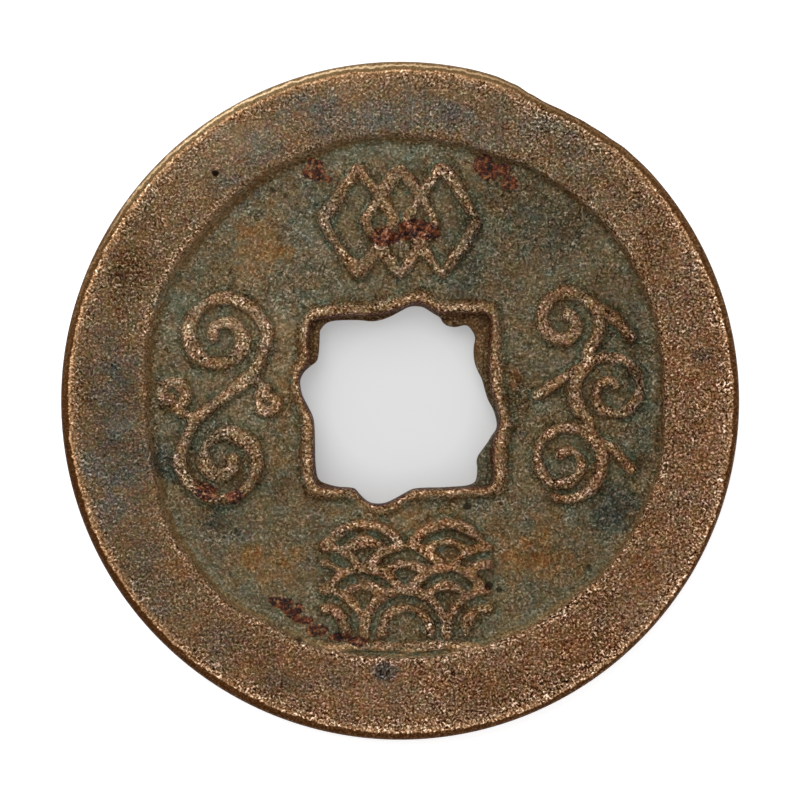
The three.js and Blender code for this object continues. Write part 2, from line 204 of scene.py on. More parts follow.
COOL = [
    (-0.73, 10.43, 3.98, 0.61, 0.8), (-4.99, 9.06, 1.3, 0.8, 0.9), (-5.93, 7.61, 0.94, 0.8, 0.6), (-2.71, 10.07, 1.81, 0.72, 0.5),
    (3.61, 9.96, 1.81, 0.72, 0.6), (5.78, 9.42, 1.81, 0.72, 0.5), (-10.41, 0.46, 0.87, 1.81, 0.8), (-10.27, -1.96, 1.3, 1.59, 0.9),
    (-10.3, -3.95, 1.01, 0.87, 0.5), (-8.57, -2.22, 0.58, 0.8, 0.8), (-7.09, -1.42, 0.72, 0.72, 0.4), (7.66, -3.81, 0.94, 0.8, 0.8),
    (5.06, 5.99, 2.89, 2.67, 0.3), (8.67, 0.03, 0.51, 3.25, 0.4), (-0.58, -9.77, 0.43, 0.4, 1), (-6.33, -8.65, 1.08, 0.65, 0.5),
    (-3.62, -10.24, 1.81, 0.65, 0.6), (6.86, -4.31, 1.08, 0.72, 0.2), (-6.15, -4.67, 1.45, 0.72, 0.4), (-1.99, -4.31, 0.51, 1.08, 0.1),
    (2.53, 5.08, 0.72, 1.81, 0.4), (-3.62, 6.35, 1.23, 1.45, 0.5), (-3.62, 3.64, 1.08, 0.43, 0.3), (-9.04, -6.66, 0.72, 1.45, 0.4),
    (9.21, -6.66, 0.72, 1.45, 0.1), (10.66, 5.08, 0.72, 1.81, 0.3),
]
# the same on the reverse
REV_CRUST = [
    (4.6, -5.8, 1, 0.6, 0.8), (-2.2, 7.9, 0.5, 0.4, 0.8),
]
REV_DARK = [
    (-7.2, 3.4, 1.2, 1.6, 0.6), (8.9, 5.6, 0.9, 0.7, 0.5), (1.5, -10.8, 0.8, 0.5, 0.5),
]
REV_WARM = [
    (-5, -4.6, 1.7, 1.2, 0.9), (5.6, 4, 1.4, 1.8, 0.8), (6.9, -1.8, 0.8, 1.4, 0.5),
]
REV_TEAL = [
    (0, -6.4, 2.8, 1.6, 0.6), (-6.8, -0.6, 1.4, 2.8, 0.5), (1.2, 6.6, 3.2, 1.3, 0.6),
]
REV_TONE = [
    (-10.4, 4.2, 1.6, 2.8, -0.06), (8.8, -6.8, 2.4, 1.8, -0.05), (10.9, 1, 1.2, 5, 0.03), (-6.5, -8.6, 3, 2, 0.03),
    (-5, -4.6, 2, 1.6, 0.04), (4.6, 3.6, 3, 3, -0.05),
]
REV_COOL = [
    (-10.4, 4.2, 1.4, 2.6, 0.8), (8.8, -6.8, 2.2, 1.6, 0.6), (2.4, 10.9, 2.8, 0.9, 0.5), (4, 4, 3, 3, 0.4),
    (-3, -10.6, 2.6, 1, 0.5),
]


# ---- smooth closed and open lines ------------------------------------------------------------
def catmull(points, closed, count):
    """Smooth line through points, as an array of about count points."""
    p = np.asarray(points, float)
    n = len(p)
    if closed:
        ext = np.vstack([p[-1], p, p[0], p[1]])
        segs = n
    else:
        ext = np.vstack([2 * p[0] - p[1], p, 2 * p[-1] - p[-2]])
        segs = n - 1
    per = max(2, int(math.ceil(count / segs)))
    out = []
    for i in range(segs):
        a, b, c, d = ext[i], ext[i + 1], ext[i + 2], ext[i + 3]
        t = np.linspace(0, 1, per, endpoint=False)[:, None]
        out.append(0.5 * ((2 * b) + (c - a) * t + (2 * a - 5 * b + 4 * c - d) * t ** 2
                          + (3 * b - a - 3 * c + d) * t ** 3))
    out = np.vstack(out)
    if not closed:
        out = np.vstack([out, p[-1]])
    return out


def around(table, deg):
    """A value given at a few angles, read smoothly all the way round."""
    t = np.asarray(table, float)
    a = np.concatenate([t[:, 0] - 360, t[:, 0], t[:, 0] + 360])
    v = np.concatenate([t[:, 1]] * 3)
    d = np.mod(deg, 360)
    i = np.clip(np.searchsorted(a, d, side="right") - 1, 0, len(a) - 2)
    u = (d - a[i]) / (a[i + 1] - a[i])
    k = u * u * (3 - 2 * u)
    return v[i] * (1 - k) + v[i + 1] * k


def dip(deg):
    d = np.mod(deg, 360)
    return np.where((d <= DIP[0][0]) | (d >= DIP[-1][0]), 0.0, around(DIP, d))


def dist_to_line(px, py, line, closed):
    """Distance from each point to a polyline, and how far along it the nearest place is."""
    a = np.asarray(line, float)
    b = np.roll(a, -1, axis=0) if closed else a[1:]
    a = a if closed else a[:-1]
    best = np.full(px.shape, 1e9)
    along = np.zeros(px.shape)
    s0 = 0.0
    for (x0, y0), (x1, y1) in zip(a, b):
        dx, dy = x1 - x0, y1 - y0
        L2 = dx * dx + dy * dy + 1e-12
        t = np.clip(((px - x0) * dx + (py - y0) * dy) / L2, 0, 1)
        d = (px - x0 - t * dx) ** 2 + (py - y0 - t * dy) ** 2
        m = d < best
        best[m] = d[m]
        along[m] = s0 + t[m] * math.sqrt(L2)
        s0 += math.sqrt(L2)
    return np.sqrt(best), along, s0


def inside(px, py, poly):
    res = np.zeros(px.shape, bool)
    a = np.asarray(poly, float)
    b = np.roll(a, -1, axis=0)
    for (x0, y0), (x1, y1) in zip(a, b):
        if y0 == y1:
            continue
        c = ((y0 > py) != (y1 > py)) & (px < (x1 - x0) * (py - y0) / (y1 - y0) + x0)
        res ^= c
    return res


def signed(px, py, poly):
    """Distance to a closed outline, positive inside."""
    d = dist_to_line(px, py, poly, True)[0]
    return np.where(inside(px, py, poly), d, -d)


def step(a, b, x):
    t = np.clip((x - a) / (b - a), 0, 1)
    return t * t * (3 - 2 * t)


# ---- seeded smooth noise ------------------------------------------------------------------------
class Noise:
    def __init__(self, seed, size=256):
        self.g = np.random.default_rng(seed).standard_normal((size, size))
        self.n = size

    def __call__(self, x, y):
        xf, yf = np.floor(x), np.floor(y)
        u, v = x - xf, y - yf
        u = u * u * (3 - 2 * u)
        v = v * v * (3 - 2 * v)
        i, j = xf.astype(int) % self.n, yf.astype(int) % self.n
        i1, j1 = (i + 1) % self.n, (j + 1) % self.n
        g = self.g
        return ((g[j, i] * (1 - u) + g[j, i1] * u) * (1 - v)
                + (g[j1, i] * (1 - u) + g[j1, i1] * u) * v)


def fractal(seed, x, y, scale, octaves=4, gain=0.55):
    out = np.zeros(np.shape(x))
    amp, tot = 1.0, 0.0
    for k in range(octaves):
        f = 2.0 ** k / scale
        ca, sa = math.cos(0.7 + k * 1.3), math.sin(0.7 + k * 1.3)
        out += amp * Noise(seed * 31 + k)((x * ca - y * sa) * f + 17.3 * k, (x * sa + y * ca) * f + 5.1 * k)
        tot += amp * amp
        amp *= gain
    return out / math.sqrt(tot)


# ---- ornament -------------------------------------------------------------------------------------
def spiral(x, y, r0, r1, a0, a1, steps):
    t = np.linspace(0, 1, steps + 1)
    a = np.radians(a0 + (a1 - a0) * t)
    r = r0 + (r1 - r0) * t
    return [[x + ri * math.cos(ai), y + ri * math.sin(ai)] for ri, ai in zip(r, a)]


def rounded(table, corner):
    p = [np.array(q, float) for q in table]
    out = [p[0]]
    for i in range(1, len(p) - 1):
        a = (p[i - 1] - p[i]) / np.linalg.norm(p[i - 1] - p[i])
        b = (p[i + 1] - p[i]) / np.linalg.norm(p[i + 1] - p[i])
        out += [p[i] + a * corner, p[i] + (a + b) * corner * 0.3, p[i] + b * corner]
    out.append(p[-1])
    return np.array(out)


WAVE_ROWS = [(-5.95, (-1.3, 1.7)), (-6.75, (-2.8, 0.2, 3.2)), (-7.55, (-1.3, 1.7)), (-8.35, (-2.8, 0.2, 3.2))]


def scales(waves, radii, big, lo, hi):
    """Rings about each centre, hidden where a nearer scale covers them."""
    out = []
    for k, (cy, xs) in enumerate(waves):
        front = [(fx, fy) for fy, fxs in waves[k + 1:] for fx in fxs]
        for cx in xs:
            for r in radii:
                run = []
                for a in range(0, 185, 4):
                    px, py = cx + r * math.cos(math.radians(a)), cy + r * math.sin(math.radians(a))
                    if lo <= px <= hi and all(math.hypot(px - fx, py - fy) >= big for fx, fy in front):
                        run.append([px, py])
                    else:
                        if len(run) > 2:
                            out.append(run)
                        run = []
                if len(run) > 2:
                    out.append(run)
    return out


def ornament():
    """The raised lines: each is its points and its width."""
    lines = []
    add = lambda pts, n, w: lines.append((catmull(pts, False, n), w))
    # above the hole: a chain of three linked lozenges
    for cx in (-1.5, 0.0, 1.5):
        cy, w, t = 6.5, 1.32, 1.98
        lines.append((rounded([[cx - w / 2, cy + t / 2], [cx, cy + t], [cx + w, cy], [cx, cy - t],
                               [cx - w, cy], [cx - w / 2 + 0.02, cy + t / 2 + 0.03]], 0.2), 0.37))
    # right of the hole: a running vine with three scrolls and three leaves
    add(spiral(5.95, -2.2, 1.35, 1.35, -105, 52, 8) + spiral(7.65, 0.35, 1.35, 1.35, 232, 128, 6)
        + spiral(5.95, 2.85, 1.35, 0.28, -52, 425, 20), 96, 0.42)
    add(spiral(5.95, -2.2, 1.35, 0.28, 40, 480, 18), 60, 0.38)
    add(spiral(7.65, 0.35, 1.35, 0.28, 140, -300, 18), 60, 0.38)
    add([[7.05, -1.3], [7.7, -1.75], [8.35, -2.5]], 10, 0.36)
    add([[6.35, 1.2], [5.6, 0.6], [4.9, 0.15]], 10, 0.36)
    add([[7.1, 3.4], [7.75, 2.95], [8.35, 2.3]], 10, 0.36)
    # below the hole: scale-shaped waves over a water line
    for run in scales(WAVE_ROWS, (1.5, 0.86), 1.5, -2.8, 3.2):
        add(run, len(run), 0.34)
    add([[-2.45, -8.95], [-1.4, -8.82], [0.2, -8.92], [1.7, -8.82], [2.75, -8.95]], 20, 0.34)
    # left of the hole: an S scroll with two small curls
    add(spiral(-6.45, 2.3, 0.3, 1.62, 540, 0, 18) + [[-5.35, 0.95], [-6.4, 0.1], [-7.45, -0.8]]
        + spiral(-6.35, -2.15, 1.62, 0.3, 180, 720, 18), 100, 0.44)
    add([[-7.35, -0.65]] + spiral(-8.3, 0.25, 0.62, 0.2, 285, 640, 10), 24, 0.36)
    add([[-5.45, 0.85]] + spiral(-4.72, -0.05, 0.5, 0.16, 105, 460, 10), 24, 0.34)
    return lines


# ---- height of the obverse at (x, y) ---------------------------------------------------------------
hole_line = catmull(HOLE, True, 300)
bead_out = catmull(BEAD_OUT, True, 240)
bead_in = catmull(BEAD_IN, True, 240)
STROKES = ornament()


def spots(table, x, y, ragged=0.28, seed=21, grain=0.5):
    """Ragged patches: each is x, y, half width, half height, strength."""
    out = np.zeros(x.shape)
    wob = fractal(seed, x, y, grain, 4)
    for sx, sy, rx, ry, amp in table:
        q = np.sqrt(((x - sx) / rx) ** 2 + ((y - sy) / ry) ** 2) + ragged * wob
        out = np.maximum(out, amp * (1 - step(0.5, 1.2, q)))
    return out


def zones(table, x, y, ragged=0.3, seed=35, grain=1.2):
    """Broad soft patches added together: each is x, y, half width, half height, amount."""
    out = np.zeros(x.shape)
    wob = fractal(seed, x, y, grain, 4)
    for sx, sy, rx, ry, amp in table:
        q = np.sqrt(((x - sx) / rx) ** 2 + ((y - sy) / ry) ** 2) + ragged * wob
        out += amp * (1 - step(0.35, 1.35, q))
    return out


def worn_edge(e, width, depth):
    """How far a rounded outer edge has dropped at a distance e inside the outline."""
    t = np.clip(1 - e / width, 0, 1)
    return depth * (1 - np.sqrt(np.clip(1 - t * t, 0, 1)))


def obverse(x, y):
    r = np.hypot(x, y)
    deg = np.degrees(np.arctan2(y, x))
    wob = fractal(5, x, y, 1.6, 3)
    soft = around(RIM_SOFT, deg)
    rim_edge = around(RIM_IN, deg) - 0.03 + 0.035 * wob + 0.012 * fractal(15, x, y, 0.4, 3)
    out_edge = RADIUS + dip(deg)
    pit = fractal(1, x, y, 1.1, 4)
    fine = fractal(12, x, y, 0.30, 3)
    h = np.full(r.shape, FIELD) + 0.016 * pit + 0.007 * fine
    # rim, with a sloped inner step
    k = step(0, 1, (r - rim_edge + soft) / (soft + 0.04))
    rim_top = THICK - 0.014 - 0.010 * np.abs(fractal(2, x, y, 0.7, 3)) + 0.004 * fine
    h = h * (1 - k) + rim_top * k
    # relief: worn strokes, wider and higher in some places than in others
    prof = np.zeros(r.shape)
    dmin = np.full(r.shape, 9.0)
    for n, (line, width) in enumerate(STROKES):
        lo, hi = line.min(0) - 1.2, line.max(0) + 1.2
        m = (x > lo[0]) & (x < hi[0]) & (y > lo[1]) & (y < hi[1])
        if not m.any():
            continue
        d, along, total = dist_to_line(x[m], y[m], line, False)
        d = d + 0.035 * fractal(7, x[m], y[m], 0.5, 3)
        half = width * 0.5 * (1 + 0.18 * fractal(40 + n, along, along * 0 + n, 0.9, 2))
        p = 1 - step(half * 0.64, half * 1.15 + 0.045, d)
        prof[m] = 1 - (1 - prof[m]) * (1 - p)
        dmin[m] = np.minimum(dmin[m], d)
    wear = np.clip(0.84 + 0.22 * fractal(3, x, y, 1.2, 3), 0.45, 1.0)
    top = (RELIEF - 0.012 - FIELD) * wear + 0.006 * fine
    h = np.maximum(h, h * (1 - prof) + (FIELD + top) * prof)
    # inner rim and the ledge inside it
    so = signed(x, y, bead_out) + 0.03 * wob + 0.015 * fine
    si = signed(x, y, bead_in) + 0.01 * fine
    up = step(-0.22, 0.14, so)
    h = h * (1 - up) + (BEAD - 0.02 - 0.02 * np.abs(wob)) * up
    down = step(-0.05, 0.10, si)
    h = h * (1 - down) + (LEDGE + 0.03 * wob + 0.008 * fine) * down
    # pits, nodules
    crust = spots(CRUST, x, y)
    h = h + 0.05 * crust * (0.6 + 0.4 * fractal(25, x, y, 0.25, 3))
    for px, py, pr, pd in PITS:
        q = np.hypot(x - px, y - py) / pr
        h = h - pd * np.exp(-q ** 4)
    # worn outer edge, lower where the outline dips
    e = np.clip(out_edge - r, 0, 2)
    wide = 0.27 + 0.25 * np.clip(-dip(deg) / 0.25, 0, 1)
    h = np.minimum(h, THICK - worn_edge(e, wide, 0.22))
    return np.minimum(h, THICK), dict(rim=k, relief=prof, bead=up * (1 - down), ledge=down,
                                      dstroke=dmin, so=so, si=si, edge=e, rstep=r - rim_edge, soft=soft, crust=crust)


def reverse(x, y):
    r = np.hypot(x, y)
    deg = np.degrees(np.arctan2(y, x))
    out_edge = RADIUS + dip(deg)
    wob = fractal(9, x, y, 2, 3)
    so = signed(x, y, bead_out)
    k = step(-0.25, 0.12, r - REV_RIM - 0.05 * wob)
    b = step(-REV_BEAD - 0.2, -REV_BEAD + 0.1, so + 0.04 * wob)
    k = np.maximum(k, b)
    fine = fractal(13, x, y, 0.35, 3)
    h = (REV_FIELD - 0.01 + 0.02 * fractal(8, x, y, 1.3, 4) + 0.006 * fine) * (1 - k) \
        + (0.004 + 0.008 * np.abs(fractal(6, x, y, 0.8, 3))) * k
    e = np.clip(out_edge - r, 0, 2)
    h = np.maximum(h, worn_edge(e, 0.26, 0.24))
    return np.maximum(h, 0.0), k


# ---- the coin as one closed mesh --------------------------------------------------------------------
HC = hole_line.mean(0)


def hole_radius(deg):
    """Radius of the hole's outline in a direction from its own middle."""
    a = np.degrees(np.arctan2(hole_line[:, 1] - HC[1], hole_line[:, 0] - HC[0])) % 360
    rr = np.hypot(hole_line[:, 0] - HC[0], hole_line[:, 1] - HC[1])
    o = np.argsort(a)
    return np.interp(deg % 360, a[o], rr[o], period=360)


NT = 640
deg = np.arange(NT) * 360.0 / NT
ang = np.radians(deg)
hr = hole_radius(deg)
inner = np.stack([HC[0] + hr * np.cos(ang), HC[1] + hr * np.sin(ang)], 1)
orad = RADIUS + dip(deg)
outer = np.stack([orad * np.cos(ang), orad * np.sin(ang)], 1)


def grid(fracs):
    f = np.asarray(fracs)[:, None, None]
    return inner[None] * (1 - f) + outer[None] * f


def lin(a, b, n):
    return np.linspace(a, b, n, endpoint=False)


top_f = np.concatenate([[0.0, 0.004], lin(0.009, 0.74, 92), lin(0.74, 0.965, 11), lin(0.965, 0.998, 7), [0.9988, 1.0]])
bot_f = np.concatenate([[0.0, 0.004], lin(0.02, 0.16, 10), lin(0.16, 0.66, 6), lin(0.66, 0.76, 5), lin(0.76, 0.965, 3),
                        lin(0.965, 0.995, 5), [0.998, 1.0]])
T = grid(top_f)
B = grid(bot_f)
hT, info = obverse(T[..., 0], T[..., 1])
hB, kB = reverse(B[..., 0], B[..., 1])
# the hole's edges are rounded by wear
tf = top_f[:, None] * np.linalg.norm(outer - inner, axis=1)[None]
hT = hT - worn_edge(tf, 0.10, 0.08)
bf = bot_f[:, None] * np.linalg.norm(outer - inner, axis=1)[None]
hB = hB + worn_edge(bf, 0.10, 0.08)

verts, rows, kind = [], [], []


def ring_rows(xy, z, label):
    base = sum(len(v) for v in verts)
    verts.append(np.concatenate([xy, z[..., None]], -1).reshape(-1, 3))
    for j in range(xy.shape[0]):
        rows.append(base + j * NT + np.arange(NT))
        kind.append(label)


ring_rows(T, hT, "top")
OUT_WALL, IN_WALL = 5, 5
for j in range(1, OUT_WALL):
    t = j / OUT_WALL
    ring_rows(outer[None], (hT[-1] * (1 - t) + hB[-1] * t)[None], "wall")
ring_rows(B[::-1], hB[::-1], "bottom")
for j in range(1, IN_WALL):
    t = j / IN_WALL
    ring_rows(inner[None], (hB[0] * (1 - t) + hT[0] * t)[None], "bore")
V = np.vstack(verts)
n_rows = len(rows)
faces = []
for a in range(n_rows):
    b = (a + 1) % n_rows
    r0, r1 = rows[a], rows[b]
    faces.append(np.stack([r0, r1, np.roll(r1, -1), np.roll(r0, -1)], 1))
F = np.vstack(faces)

mesh = bpy.data.meshes.new("coin_body")
mesh.vertices.add(len(V))
mesh.vertices.foreach_set("co", (V * MM).astype(np.float32).ravel())
mesh.loops.add(F.size)
mesh.loops.foreach_set("vertex_index", F.ravel().astype(np.int32))
mesh.polygons.add(len(F))
mesh.polygons.foreach_set("loop_start", np.arange(0, F.size, 4, dtype=np.int32))
mesh.polygons.foreach_set("loop_total", np.full(len(F), 4, dtype=np.int32))
mesh.polygons.foreach_set("use_smooth", np.ones(len(F), dtype=bool))
mesh.update(calc_edges=True)
mesh.validate()

# ---- a flat layout of the surface: obverse disc, reverse disc, wall and bore strips -------------------
uv = np.zeros((F.size, 2))
fi = 0
S1, S2 = 0.355 / 12.25, 0.205 / 12.25
per_row = NT * 4


def strip(v0, height, parts, j, n, cols):
    """Corner positions on a strip that is cut into parts, one above another."""
    width = 0.56
    out = np.zeros((NT, 4, 2))
    c = np.arange(NT)
    per = NT // parts
    part = np.minimum(c // per, parts - 1)
    u0 = (c - part * per) / per
    u1 = (c - part * per + 1) / per
    base = v0 + part * (height + 0.008)
    va, vb = base + height * (1 - j / n), base + height * (1 - (j + 1) / n)
    out[:, 0] = np.stack([0.01 + width * u0, va], 1)
    out[:, 1] = np.stack([0.01 + width * u0, vb], 1)
    out[:, 2] = np.stack([0.01 + width * u1, vb], 1)
    out[:, 3] = np.stack([0.01 + width * u1, va], 1)
    return out


nT, nW, nB, nI = len(top_f), OUT_WALL - 1, len(bot_f), IN_WALL - 1
for a in range(n_rows):
    q = F[a * NT:(a + 1) * NT]
    p = V[q]
    if a < nT - 1:
        o = np.stack([0.365 + p[..., 0] * S1, 0.635 + p[..., 1] * S1], -1)
    elif a < nT - 1 + OUT_WALL:
        o = strip(0.012, 0.034, 3, a - (nT - 1), OUT_WALL, NT)
    elif a < nT - 1 + OUT_WALL + nB - 1:
        o = np.stack([0.785 - p[..., 0] * S2, 0.215 + p[..., 1] * S2], -1)
    else:
        o = strip(0.150, 0.045, 1, a - (nT - 1 + OUT_WALL + nB - 1), IN_WALL, NT)
    uv[a * per_row:(a + 1) * per_row] = o.reshape(-1, 2)
layer = mesh.uv_layers.new(name="OFBake")
layer.data.foreach_set("uv", uv.astype(np.float32).ravel())


def attribute(name, top, bottom=None, wall=0.0, bore=0.0):
    """A value per point: given on the obverse and the reverse, one value on the walls."""
    full = np.full(len(V), wall, dtype=np.float32)
    full[: top.size] = top.ravel()
    b0 = (nT + nW) * NT
    full[b0:b0 + nB * NT] = 0.0 if bottom is None else bottom[::-1].ravel()
    full[b0 + nB * NT:] = bore
    at = mesh.attributes.new(name, "FLOAT", "POINT")
    at.data.foreach_set("value", full)


def blur(a, n):
    for _ in range(n):
        a = (a + np.roll(a, 1, 1) + np.roll(a, -1, 1)) / 3
        p = np.pad(a, ((1, 1), (0, 0)), mode="edge")
        a = (p[:-2] + a + p[2:]) / 3
    return a


x, y = T[..., 0], T[..., 1]
bx, by = B[..., 0], B[..., 1]
convex = np.clip((hT - blur(hT, 6)) / 0.03, -1, 1)
raised = np.maximum.reduce([info["rim"], info["relief"], info["bead"]])
low = np.maximum(info["relief"], info["bead"])
foot_shade = 4 * low * (1 - low) * (1 - info["ledge"]) * (1 - info["rim"])
near = np.exp(-np.clip(info["dstroke"] - STROKE * 0.5, 0, 9) / 0.20) * (1 - info["relief"]) * (1 - info["rim"])
near = np.maximum(near, np.exp(-np.clip(-info["so"] - 0.1, 0, 9) / 0.2) * (1 - info["bead"]) * (1 - info["ledge"]))
theta = np.degrees(np.arctan2(y, x)) % 360
rough = around(ROUGH, theta)
edgeB = RADIUS + dip(np.degrees(np.arctan2(by, bx))) - np.hypot(bx, by)
convexB = np.clip((blur(hB, 4) - hB) / 0.03, -1, 1)
attribute("raised", raised, kB, 1.0, 0.3)
attribute("convex", convex, convexB, 0.1, 0.0)
attribute("stroke", np.maximum(info["relief"], info["bead"]), np.zeros_like(kB), 0.0, 0.0)
attribute("rough", rough * info["rim"] + (1 - info["rim"]) * 0.9, 0.9 + 0 * kB, 1.0, 0.95)
attribute("seam", np.exp(-((info["si"] - 0.02) / 0.055) ** 2), np.zeros_like(kB), 0.0, 0.0)
attribute("wall", 0 * x, 0 * kB, 1.0, 0.0)
attribute("red", step(-4.0, 9.0, x - y), 0.5 + 0 * kB, 0.5, 0.5)
attribute("foot_shade", foot_shade, 4 * kB * (1 - kB), 0.0, 0.3)
attribute("halo", near, spots([(0, 0, 9.5, 9.5, 0.35)], bx, by) * (1 - kB), 0.0, 0.0)
# distances, in millimetres, from the inner step and from the inside of the worn outer edge
attribute("inset", np.clip(info["rstep"], -1.2, 2.0), 0 * kB - 1.2, 2.0, -1.2)
attribute("inset_n", np.clip(info["rstep"] / info["soft"], -4, 4), 0 * kB - 4, 4.0, -4.0)
attribute("erel", np.clip(info["edge"] - around(EDGE_W, theta), -0.5, 1.6), np.clip(edgeB - 0.2, -0.5, 1.6), -0.3, 1.6)
attribute("lit", around(EDGE_LIT, theta), 0 * kB, 0.0, 0.0)
attribute("lip", around(EDGE_LIP, theta), 0 * kB + 0.3, 0.0, 0.0)
attribute("crest", around(CREST_IN, theta), 0 * kB, 0.0, 0.0)
attribute("slope", around(SLOPE, theta), 0 * kB, 0.0, 0.0)
attribute("verge", around(VERGE, theta), 0 * kB, 0.0, 0.0)
attribute("crest_out", around(CREST_OUT, theta), 0 * kB, 0.0, 0.0)
attribute("fall", around(FALL, theta), 0 * kB, 0.0, 0.0)
attribute("lift", around(LIFT, theta), 0 * kB, 0.0, 0.0)
hdeg = np.degrees(np.arctan2(y - HC[1], x - HC[0])) % 360
attribute("bead_wear_and_highlight", np.exp(-((info["si"] + 0.15) / 0.13) ** 2) * around(BEAD_LIT, hdeg), 0 * kB, 0.0, 0.0)
attribute("ledge", info["ledge"], 0 * kB, 0.0, 1.0)
attribute("crust", np.clip(info["crust"], 0, 1), spots(REV_CRUST, bx, by), 0.0, 0.0)
attribute("dark", spots(DARK, x, y), spots(REV_DARK, bx, by), 0.0, 0.0)
attribute("warm", spots(WARM, x, y), spots(REV_WARM, bx, by), 0.0, 0.0)
attribute("teal", spots(TEAL, x, y), spots(REV_TEAL, bx, by), 0.0, 0.0)
attribute("tone", zones(TONE, x, y), zones(REV_TONE, bx, by), 0.0, 0.0)
attribute("cool", np.clip(zones(COOL, x, y, 0.3, 36, 0.9), 0, 1), np.clip(zones(REV_COOL, bx, by, 0.3, 36, 0.9), 0, 1), 0.2, 0.0)

coin = bpy.data.objects.new("coin_body", mesh)
bpy.context.scene.collection.objects.link(coin)
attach(coin, "root")
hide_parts("cast_coin")


# ---- material ---------------------------------------------------------------------------------------
def rgb(r, g, b):
    """Screen values 0 to 255. The colour network works in screen values up to its last node."""
    return (r / 255, g / 255, b / 255, 1.0)


mat = bpy.data.materials.new("patinated_bronze")
mat.use_nodes = True
nt = mat.node_tree
nt.nodes.clear()
N, L = nt.nodes, nt.links


def node(kind, **values):
    n = N.new(kind)
    for k, v in values.items():
        setattr(n, k, v)
    return n


def attr(name):
    return node("ShaderNodeAttribute", attribute_name=name).outputs["Fac"]


coords = node("ShaderNodeTexCoord").outputs["Object"]


def noise(scale, detail=3.0, rough=0.55, offset=0.0, upright=1.0):
    mp = node("ShaderNodeMapping")
    L.new(coords, mp.inputs["Vector"])
    mp.inputs["Location"].default_value = (offset, offset * 0.7, offset * 1.3)
    mp.inputs["Scale"].default_value = (1000.0, 1000.0, 1000.0 * upright)
    n = node("ShaderNodeTexNoise")
    L.new(mp.outputs[0], n.inputs["Vector"])
    n.inputs["Scale"].default_value = scale
    n.inputs["Detail"].default_value = detail
    n.inputs["Roughness"].default_value = rough
    return n.outputs["Fac"]


def ramp(value, lo, hi, a=0.0, b=1.0):
    n = node("ShaderNodeMapRange", interpolation_type="SMOOTHSTEP")
    L.new(value, n.inputs["Value"])
    n.inputs["From Min"].default_value = lo
    n.inputs["From Max"].default_value = hi
    n.inputs["To Min"].default_value = a
    n.inputs["To Max"].default_value = b
    return n.outputs[0]


def math_(op, a, b):
    n = node("ShaderNodeMath", operation=op)
    for s, v in ((0, a), (1, b)):
        if isinstance(v, (int, float)):
            n.inputs[s].default_value = v
        else:
            L.new(v, n.inputs[s])
    n.use_clamp = op in ("MULTIPLY", "ADD", "SUBTRACT")
    return n.outputs[0]


def mix(fac, a, b, mode="MIX"):
    n = node("ShaderNodeMix", data_type="RGBA", blend_type=mode)
    if isinstance(fac, (int, float)):
        n.inputs[0].default_value = fac
    else:
        L.new(fac, n.inputs[0])
    for s, v in ((6, a), (7, b)):
        if isinstance(v, tuple):
            n.inputs[s].default_value = v
        else:
            L.new(v, n.inputs[s])
    return n.outputs[2]


def wave(scale, detail, rough, offset, gain):
    """Grain from about -1 to 1."""
    n = node("ShaderNodeMapRange", clamp=True)
    L.new(noise(scale, detail, rough, offset), n.inputs["Value"])
    n.inputs["From Min"].default_value = 0.5 - 0.5 / gain
    n.inputs["From Max"].default_value = 0.5 + 0.5 / gain
    n.inputs["To Min"].default_value = -1.0
    n.inputs["To Max"].default_value = 1.0
    return n.outputs[0]


def plain(op, a, b):
    """Arithmetic that isn't held between 0 and 1."""
    out_ = math_(op, a, b)
    out_.node.use_clamp = False
    return out_


def lighten(colour, amount, tint=(1.0, 0.96, 0.9)):
    """Add an amount, in screen values, to a colour."""
    sc = node("ShaderNodeVectorMath", operation="SCALE")
    if isinstance(tint, tuple):
        sc.inputs[0].default_value = tint
    L.new(amount, sc.inputs["Scale"])
    if not isinstance(tint, tuple):
        L.new(tint, sc.inputs[0])
    ad = node("ShaderNodeVectorMath", operation="ADD")
    L.new(colour, ad.inputs[0])
    L.new(sc.outputs[0], ad.inputs[1])
    return ad.outputs[0]


raised_n, convex_n, rough_n = attr("raised"), attr("convex"), attr("rough")
red_n = attr("red")
stroke_n = attr("stroke")
# low places: brown with grey-green patches; rims: olive brown on one side, redder on the other
field_c = mix(ramp(noise(1.4, 3, 0.5, 7.0), 0.42, 0.66, 0.0, 0.7), rgb(98, 79, 54), rgb(90, 82, 64))
rim_c = mix(red_n, rgb(99, 79, 53), rgb(101, 74, 47))
base = mix(raised_n, field_c, rim_c)
# painted shade: the sides of the strokes and the inner rim, the slopes of the reverse's rim and the bore are darkened
# towards dark orange brown
base = mix(math_("MULTIPLY", attr("foot_shade"), ramp(noise(1.2, 3, 0.5, 81.0), 0.35, 0.6, 0.25, 0.85)), base, rgb(84, 56, 26))
high = math_("MULTIPLY", stroke_n, ramp(convex_n, -0.1, 0.5, 0.25, 0.85))
base = mix(math_("MULTIPLY", high, ramp(noise(1.3, 3, 0.6, 41.0), 0.36, 0.62, 0.25, 0.75)), base, rgb(118, 94, 64))
